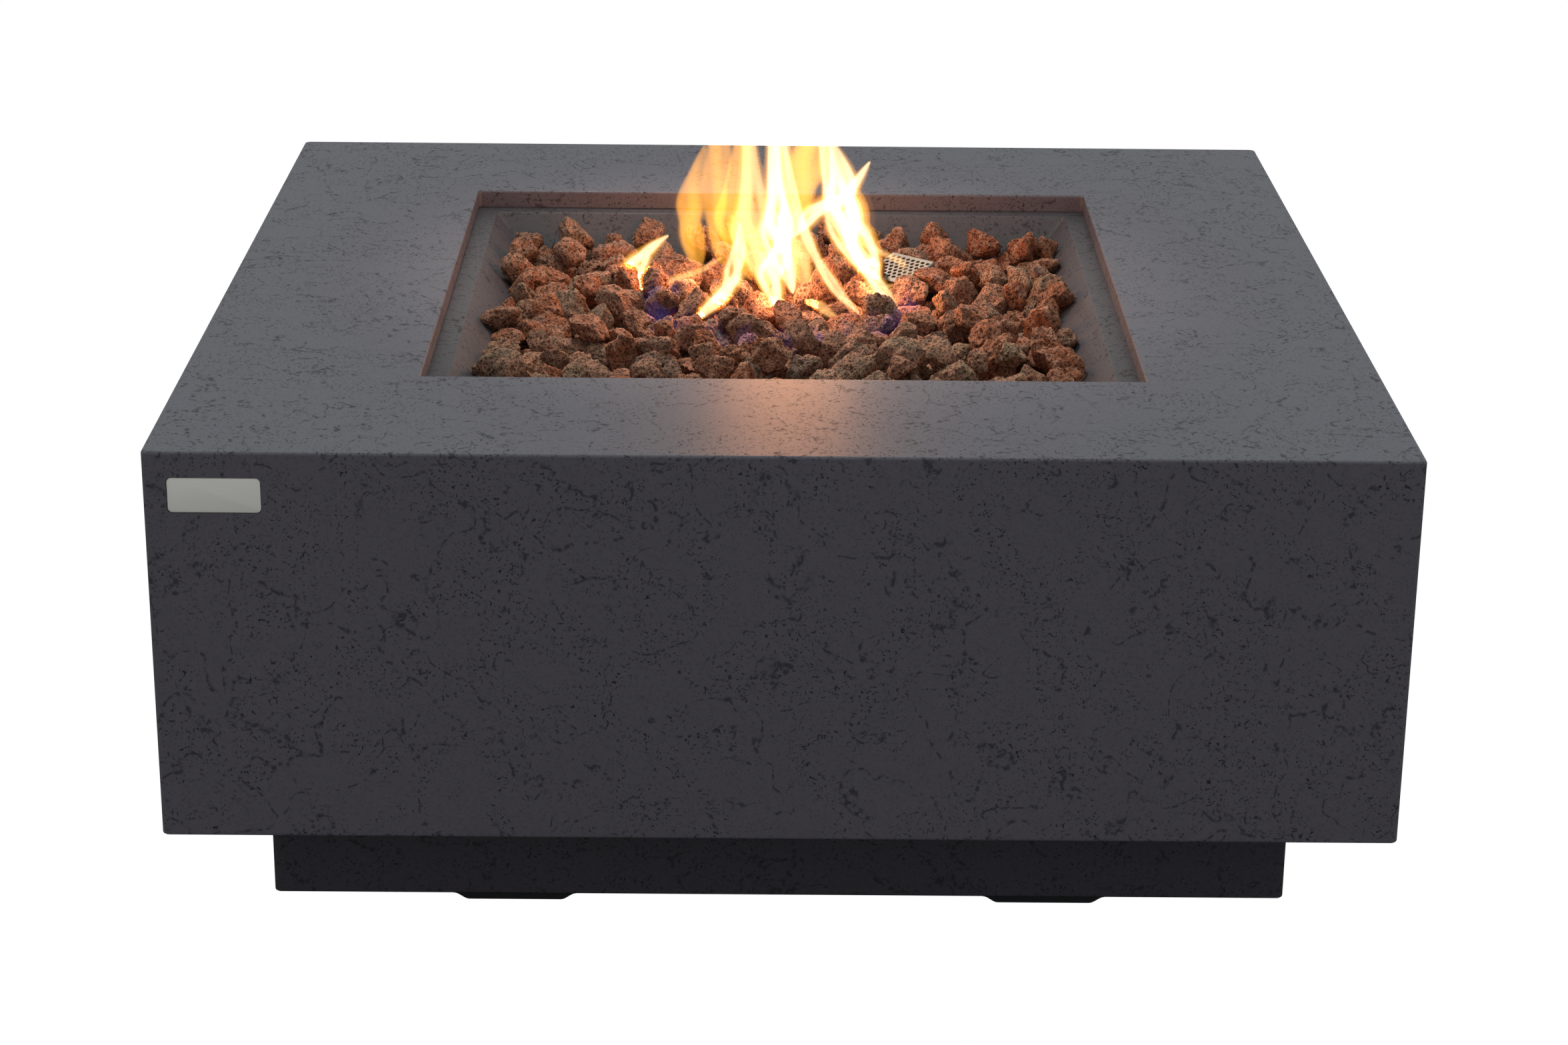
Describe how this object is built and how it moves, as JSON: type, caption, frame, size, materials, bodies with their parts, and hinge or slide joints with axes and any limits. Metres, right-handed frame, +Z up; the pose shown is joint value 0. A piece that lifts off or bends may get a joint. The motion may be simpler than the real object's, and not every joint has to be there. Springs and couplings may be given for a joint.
{
  "type": "gas fire table",
  "caption": "Square low cast-concrete gas fire table on a recessed plinth, with a sunken basin of lava rock, ring burner, pilot and side controls.",
  "frame": {"origin": "on the ground under the middle of the table", "axes": "+Z up, -Y the front face with the badge, +X the side with the gas control and the igniter"},
  "size_m": [0.914, 0.914, 0.3865],
  "materials": {
    "charcoal_concrete": "cast, satin sealer, fine pits",
    "plinth_concrete": "cast, dark, matt",
    "lava_rock": "rough porous rock",
    "fibre_cement_board": "matt board",
    "brushed_stainless": "brushed sheet",
    "zinc_plated_steel": "plated, satin",
    "brass": "machined",
    "aluminium": "drawn tube",
    "copper": "bare copper",
    "black_rubber": "matt",
    "black_plastic": "moulded, fine texture",
    "white_ceramic": "fired, unglazed",
    "red_silicone": "silicone sleeve",
    "satin_badge": "satin plate, blank",
    "battery_wrap": "printed film without print"
  },
  "bodies": {
    "table": {"table_shell": "charcoal_concrete", "fire_basin": "charcoal_concrete", "plinth_frame": "plinth_concrete", "base_deck": "fibre_cement_board", "foot_front_left": "black_rubber", "foot_front_right": "black_rubber", "foot_rear_left": "black_rubber", "foot_rear_right": "black_rubber", "deck_bracket_right": "zinc_plated_steel", "deck_bracket_rear": "zinc_plated_steel", "deck_bracket_left": "zinc_plated_steel", "deck_bracket_front": "zinc_plated_steel", "basin_cleat_right": "zinc_plated_steel", "basin_cleat_rear": "zinc_plated_steel", "basin_cleat_left": "zinc_plated_steel", "basin_cleat_front": "zinc_plated_steel", "badge_plate": "satin_badge", "burner_ring": "brushed_stainless", "burner_leg_1": "zinc_plated_steel", "burner_leg_2": "zinc_plated_steel", "burner_leg_3": "zinc_plated_steel", "burner_leg_4": "zinc_plated_steel", "hub_nipple": "zinc_plated_steel", "nipple_locknut": "zinc_plated_steel", "air_mixer": "brass", "orifice_fitting": "brass", "feed_tube": "aluminium", "lava_rock_bed": "lava_rock", "pilot_hood": "brushed_stainless", "pilot_bracket": "zinc_plated_steel", "pilot_burner": "brass", "spark_electrode": "white_ceramic", "thermocouple": "copper", "pilot_tube": "aluminium", "thermocouple_lead": "copper", "spark_lead": "red_silicone", "control_panel": "brushed_stainless", "panel_screw_1": "zinc_plated_steel", "panel_screw_2": "zinc_plated_steel", "panel_screw_3": "zinc_plated_steel", "panel_screw_4": "zinc_plated_steel", "gas_valve": "brass", "knob_bezel": "brushed_stainless", "igniter_body": "black_plastic", "igniter_nut": "black_plastic", "igniter_spring": "zinc_plated_steel", "battery": "battery_wrap", "inlet_tube": "aluminium", "gas_inlet_fitting": "brass", "inlet_bracket": "zinc_plated_steel", "heat_shield": "zinc_plated_steel"},
    "plunger": {"valve_plunger": "brass"},
    "knob": {"valve_stem": "zinc_plated_steel", "control_knob": "black_plastic"},
    "igniter_cap": {"igniter_cap": "black_plastic"},
    "igniter_button": {"igniter_button": "black_plastic"}
  },
  "joints": [
    {"name": "valve_push", "type": "slide", "parent": "table", "child": "plunger", "axis": [-1, 0, 0], "range_m": [0, 0.004], "stiffness_N_per_m": 800, "springref_m": -0.006},
    {"name": "gas_turn", "type": "hinge", "parent": "plunger", "child": "knob", "pos_m": [0.431, -0.045, 0.2365], "axis": [1, 0, 0], "range_deg": [0, 180]},
    {"name": "igniter_cap_off", "type": "slide", "parent": "table", "child": "igniter_cap", "axis": [1, 0, 0], "range_m": [0, 0.045]},
    {"name": "igniter_press", "type": "slide", "parent": "igniter_cap", "child": "igniter_button", "axis": [-1, 0, 0], "range_m": [0, 0.003], "stiffness_N_per_m": 600, "springref_m": -0.004}
  ]
}
